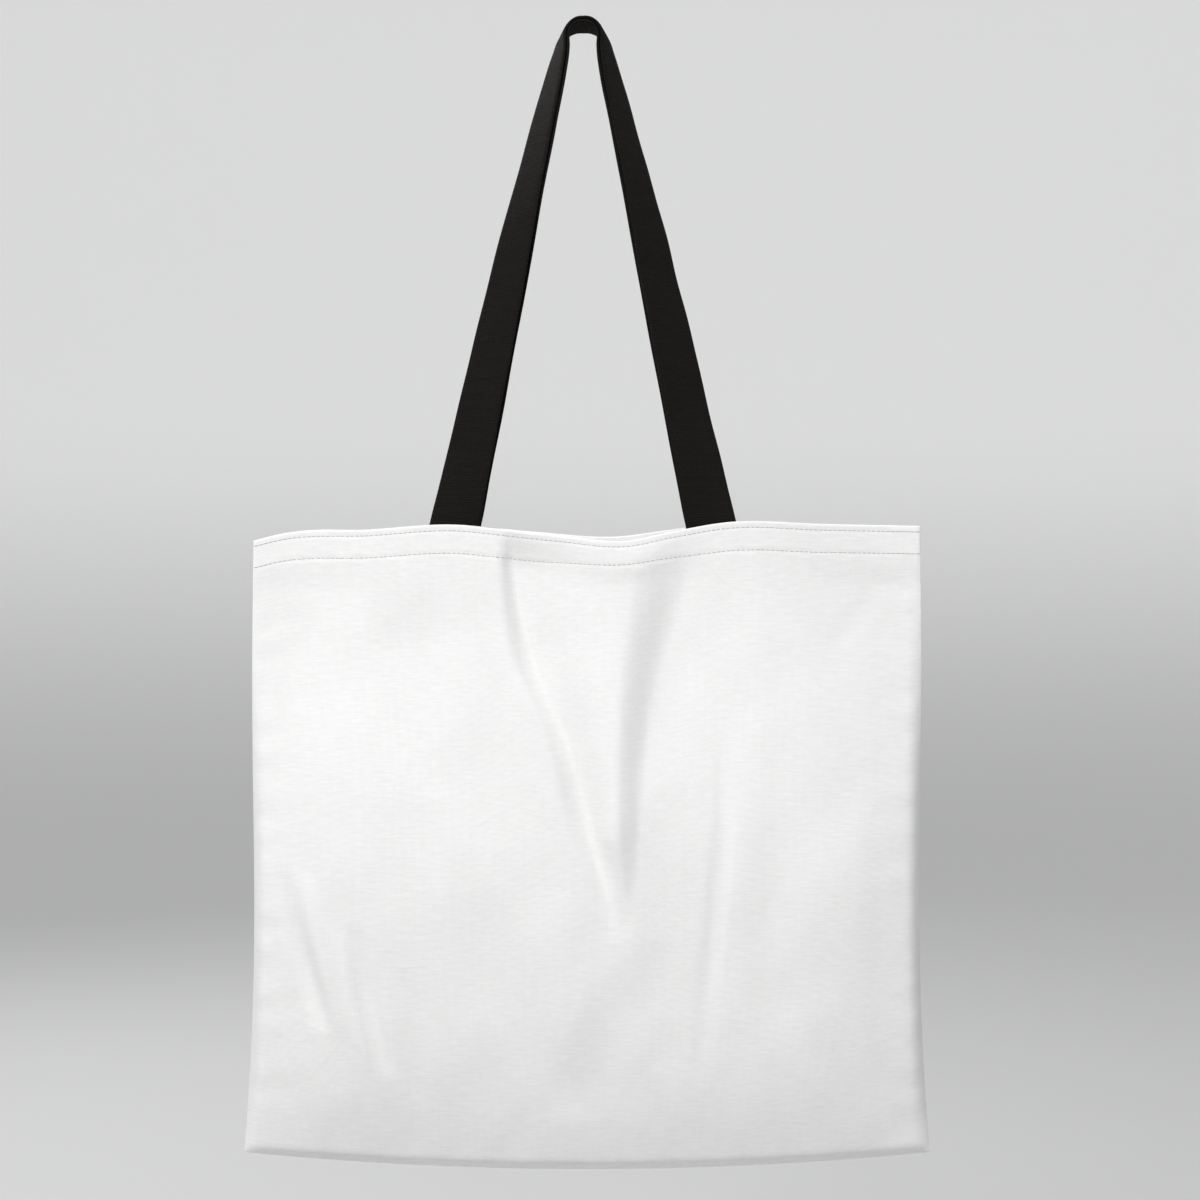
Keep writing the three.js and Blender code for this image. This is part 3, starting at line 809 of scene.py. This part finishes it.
# %% Materials of cloth, webbing and thread
def woven_material(name, light, shade, threads, roughness, bump, sheen, wander):
    """A woven finish: light on the crowns of the threads and shade in the gaps between them."""
    material = bpy.data.materials.new(name)
    material.use_nodes = True
    tree = material.node_tree
    shader = tree.nodes["Principled BSDF"]
    cut = add_node(tree, "ShaderNodeUVMap", {"uv_map": "cut"})
    weave = add_node(tree, "ShaderNodeGroup", {"node_tree": WEAVE}, Place=cut.outputs[0],
                     Across=threads[0], Along=threads[1], Wander=wander)
    place = add_node(tree, "ShaderNodeTexCoord")
    handled = add_node(tree, "ShaderNodeGroup", {"node_tree": HANDLING}, Place=place.outputs["Object"])
    slub = maths(tree, "MULTIPLY_ADD", weave.outputs["Slub"], 2.4, -0.95)
    shaded = maths(tree, "MULTIPLY_ADD", weave.outputs["Gap"], 0.45, maths(tree, "MULTIPLY", slub, 0.27))
    amount = maths(tree, "MULTIPLY_ADD", handled.outputs["Mottle"], 0.30, shaded)
    colour = add_node(tree, "ShaderNodeMix", {"data_type": "RGBA"})
    tree.links.new(amount, colour.inputs[0])
    colour.inputs[6].default_value = (*light, 1)
    colour.inputs[7].default_value = (*shade, 1)
    tree.links.new(colour.outputs[2], shader.inputs["Base Color"])
    rough = maths(tree, "MULTIPLY_ADD", weave.outputs["Slub"], 0.10, roughness - 0.05)
    tree.links.new(rough, shader.inputs["Roughness"])
    relief = maths(tree, "MULTIPLY_ADD", weave.outputs["Slub"], 0.6, weave.outputs["Height"])
    bumped = add_node(tree, "ShaderNodeBump", Strength=bump, Distance=0.0004, Height=relief)
    tree.links.new(bumped.outputs[0], shader.inputs["Normal"])
    shader.inputs["Sheen Weight"].default_value = sheen
    shader.inputs["Sheen Roughness"].default_value = 0.5
    shader.inputs["Specular IOR Level"].default_value = 0.12
    return material


canvas_white = woven_material("white_canvas", (0.94, 0.94, 0.935), (0.72, 0.72, 0.71),
                              (1500.0, 1500.0), 0.92, 0.5, 0.05, 0.25)
webbing_black = woven_material("black_webbing", (0.0110, 0.0094, 0.0076), (0.0036, 0.0030, 0.0024),
                               (900.0, 667.0), 0.92, 0.9, 0.0, 0.12)


def thread_material(name, light, shade):
    material = bpy.data.materials.new(name)
    material.use_nodes = True
    tree = material.node_tree
    shader = tree.nodes["Principled BSDF"]
    place = add_node(tree, "ShaderNodeTexCoord")
    # The diagonal bands paint light on the twisted plies and shade between them.
    ply = add_node(tree, "ShaderNodeTexWave", {"bands_direction": "DIAGONAL"},
                   Vector=place.outputs["Object"], Scale=900.0, Distortion=1.5)
    colour = add_node(tree, "ShaderNodeMix", {"data_type": "RGBA"})
    tree.links.new(ply.outputs["Fac"], colour.inputs[0])
    colour.inputs[6].default_value = (*shade, 1)
    colour.inputs[7].default_value = (*light, 1)
    tree.links.new(colour.outputs[2], shader.inputs["Base Color"])
    bumped = add_node(tree, "ShaderNodeBump", Strength=0.4, Distance=0.0001, Height=ply.outputs["Fac"])
    tree.links.new(bumped.outputs[0], shader.inputs["Normal"])
    shader.inputs["Roughness"].default_value = 0.6
    return material


# Both thread colours are darker than white thread: painted shade for the small shadows in the needle holes
# along each row.
sewing_thread = thread_material("white_thread_painted_shade", (0.58, 0.58, 0.57), (0.34, 0.34, 0.335))

for piece in (*panels.values(), *allowances.values()):
    piece.data.materials.append(canvas_white)
for piece in handles.values():
    piece.data.materials.append(webbing_black)
print("materials:", [material.name for material in bpy.data.materials])

# %% [markdown]
# ## Sewing the rows
# The hem has an upper and a lower row on each panel. The needle thread shows outside. The bobbin
# thread shows inside the mouth, where it also crosses the sewn ends of the handles.

# %% Hem rows
THREAD = 0.5 * MM
PITCH = 2.9 * MM
STITCH = {"Pitch": PITCH, "Length": 2.4 * MM, "Thickness": THREAD, "Arch": 0.16 * MM, "Turn": 0.0}
ROW_END = HALF - 1.6 * MM
BOBBIN_END = 172 * MM
GUIDE_STEP = 1.5 * MM  # between the points of the line that a row follows
BOBBIN_SEEDS = 20


def row_line(side, drop, reach, inset):
    x = np.linspace(-reach, reach, int(2 * reach / GUIDE_STEP))
    points = cloth_point(x, np.full_like(x, drop), side, inset)
    away = outward(x, np.full_like(x, drop + 1 * MM), side)
    return points, away


def over_the_web(side, drop):
    """How far the bobbin thread lies from the panel's middle: more where it crosses a handle end."""
    hem_face = 2 * HEM_FOLD + CLOTH / 2
    x = np.linspace(-BOBBIN_END, BOBBIN_END, int(2 * BOBBIN_END / GUIDE_STEP))
    hung = spread_x(x, np.full_like(x, drop)) + BAG_SHIFT
    centre = HANDLE_X + HANDLE_SPLAY * drop
    past = (np.abs(np.abs(hung) - centre) - WEB_WIDTH / 2) / (2 * MM)
    climb = WEB_THICK + 0.25 * MM
    return hem_face + climb * (1 - ease(past))


rows = {}
for which, side in (("front", -1), ("back", 1)):
    for place, drop in (("edge", EDGE_ROW), ("hem", HEM_ROW)):
        seed = len(rows)
        needle = row_line(side, drop, ROW_END, -CLOTH / 2)
        rows[f"{which}_{place}_stitch"] = sew(f"{which}_{place}_stitches", [needle], sewing_thread,
                                              Seed=seed, **STITCH)
        points, away = row_line(side, drop, BOBBIN_END, over_the_web(side, drop))
        rows[f"{which}_{place}_bobbin_thread"] = sew(f"{which}_{place}_bobbin", [(points, -away)],
                                                     sewing_thread, Seed=seed + BOBBIN_SEEDS, **STITCH)
print("rows:", list(rows))

# %% Overlocked edges
OVERLOCK = {"Pitch": 1.9 * MM, "Length": 2.2 * MM, "Thickness": 0.35 * MM, "Arch": 0.9 * MM,
            "Turn": math.pi / 2}


def overlock_line(x, drop, away):
    points = middle_point(x, drop)
    return points, np.tile(np.array(away, float), (len(points), 1))


BITE = 0.4 * MM  # how far in from the raw edge the overlock's line runs
OVERLOCK_POINTS = 120
inner = HALF - ALLOWANCE + BITE
inner_drop = BAG_HEIGHT - ALLOWANCE + BITE
tall = np.linspace(side_drop[0], side_drop[-1], OVERLOCK_POINTS)
wide = np.linspace(-bottom_reach, bottom_reach, OVERLOCK_POINTS)
overlocks = {"left": (0 * tall - inner, tall, (1, 0, 0)), "right": (0 * tall + inner, tall, (-1, 0, 0)),
             "bottom": (wide, 0 * wide + inner_drop, (0, 0, 1))}
for seed, (which, line) in enumerate(overlocks.items(), 40):
    rows[f"{which}_seam_overlock"] = sew(f"{which}_overlock", [overlock_line(*line)], sewing_thread,
                                         Seed=seed, **OVERLOCK)
print("overlocks:", list(overlocks))

# %% [markdown]
# ## What moves with what
# The cloth, its seams and its threads stay with the bag. Each handle starts in the bag's hem and
# ends as a free loop; its mesh keeps its place and joins no body.

# %% Bodies and nodes
for which, panel in panels.items():
    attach(panel, "bag")
    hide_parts(f"{which}_panel", f"{which}_hem_turn")
for which, cloth in allowances.items():
    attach(cloth, "bag")
    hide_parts(f"{which}_seam_allowance")
for node, row in rows.items():
    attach(row, "bag")
    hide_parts(node)
for (which, handle), side in zip(handles.items(), (-1, 1)):
    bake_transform(handle)
    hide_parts(f"{which}_handle", f"{which}_handle_left_end", f"{which}_handle_right_end")

# %% [markdown]
# ## Floor and light
# A plain pale floor well below the bag curves up into a wide round backdrop, under soft studio
# light. The main lamp is high and to the left, so the right flanks of the folds are shaded.

# %% Stage
FLOOR_Z = -0.95
FLOOR_RADIUS = 3.4
CURVE = 2.2  # radius of the bend from the floor into the wall
WALL_TOP = 2.4
SPOKES = 64


def backdrop_material(floor_tone, wall_tone, wall_height, glow):
    """Plain grey that grows paler from the floor up to a height on the wall, and glows faintly."""
    material = bpy.data.materials.new("pale_backdrop")
    material.use_nodes = True
    tree = material.node_tree
    shader = tree.nodes["Principled BSDF"]
    place = add_node(tree, "ShaderNodeTexCoord")
    parts = add_node(tree, "ShaderNodeSeparateXYZ", _0=place.outputs["Object"])
    rise = add_node(tree, "ShaderNodeMapRange", {"interpolation_type": "SMOOTHSTEP"}, _0=parts.outputs[2],
                    _1=FLOOR_Z, _2=wall_height)
    tone = add_node(tree, "ShaderNodeMix", {"data_type": "RGBA"}, _0=rise.outputs[0])
    tone.inputs[6].default_value = (floor_tone, floor_tone, floor_tone, 1)
    tone.inputs[7].default_value = (wall_tone, wall_tone, wall_tone, 1)
    tree.links.new(tone.outputs[2], shader.inputs["Base Color"])
    shader.inputs["Roughness"].default_value = 0.9
    tree.links.new(tone.outputs[2], shader.inputs["Emission Color"])
    shader.inputs["Emission Strength"].default_value = glow
    return material


profile = [(FLOOR_RADIUS * k / 4, FLOOR_Z) for k in range(5)]
profile += [(FLOOR_RADIUS + CURVE * math.sin(a), FLOOR_Z + CURVE - CURVE * math.cos(a))
            for a in np.linspace(0.12, math.pi / 2, 13)]
profile += [(FLOOR_RADIUS + CURVE, WALL_TOP)]
around = np.linspace(0, 2 * math.pi, SPOKES, endpoint=False)
bowl = [(r * math.cos(a), r * math.sin(a), z) for r, z in profile for a in around]
number = np.arange(len(bowl)).reshape(len(profile), SPOKES)
floor = mesh_piece("floor", np.array(bowl), quads(np.concatenate([number, number[:, :1]], 1))[:, ::-1])
floor.data.materials.append(backdrop_material(0.46, 0.80, 0.2, 0.25))


# %% Lights
def lamp(name, place, aim, size, power):
    data = bpy.data.lights.new(name, "AREA")
    data.shape = "RECTANGLE"
    data.size, data.size_y = size
    data.energy = power
    light = bpy.data.objects.new(name, data)
    light.location = place
    light.visible_camera = False
    light.rotation_euler = (Vector(aim) - Vector(place)).to_track_quat("-Z", "Y").to_euler()
    bpy.context.scene.collection.objects.link(light)
    return light


lamp("key", (-0.64, -1.56, 1.50), (0.0, 0.0, -0.45), (0.65, 0.65), 60.0)
lamp("fill", (1.9, -2.2, 0.1), (0.0, 0.0, -0.45), (1.4, 1.4), 3.0)
lamp("back", (-1.1, 1.8, 0.8), (0.0, 0.0, -0.4), (0.8, 0.8), 17.0)
lamp("backdrop", (0.0, 1.0, 2.6), (0.0, 3.6, 0.2), (3.0, 1.5), 30.0)
world = bpy.data.worlds.new("studio")
world.use_nodes = True
world.node_tree.nodes["Background"].inputs["Color"].default_value = (0.80, 0.81, 0.82, 1)
world.node_tree.nodes["Background"].inputs["Strength"].default_value = 0.38
bpy.context.scene.world = world
bpy.context.scene.view_settings.view_transform = "Standard"
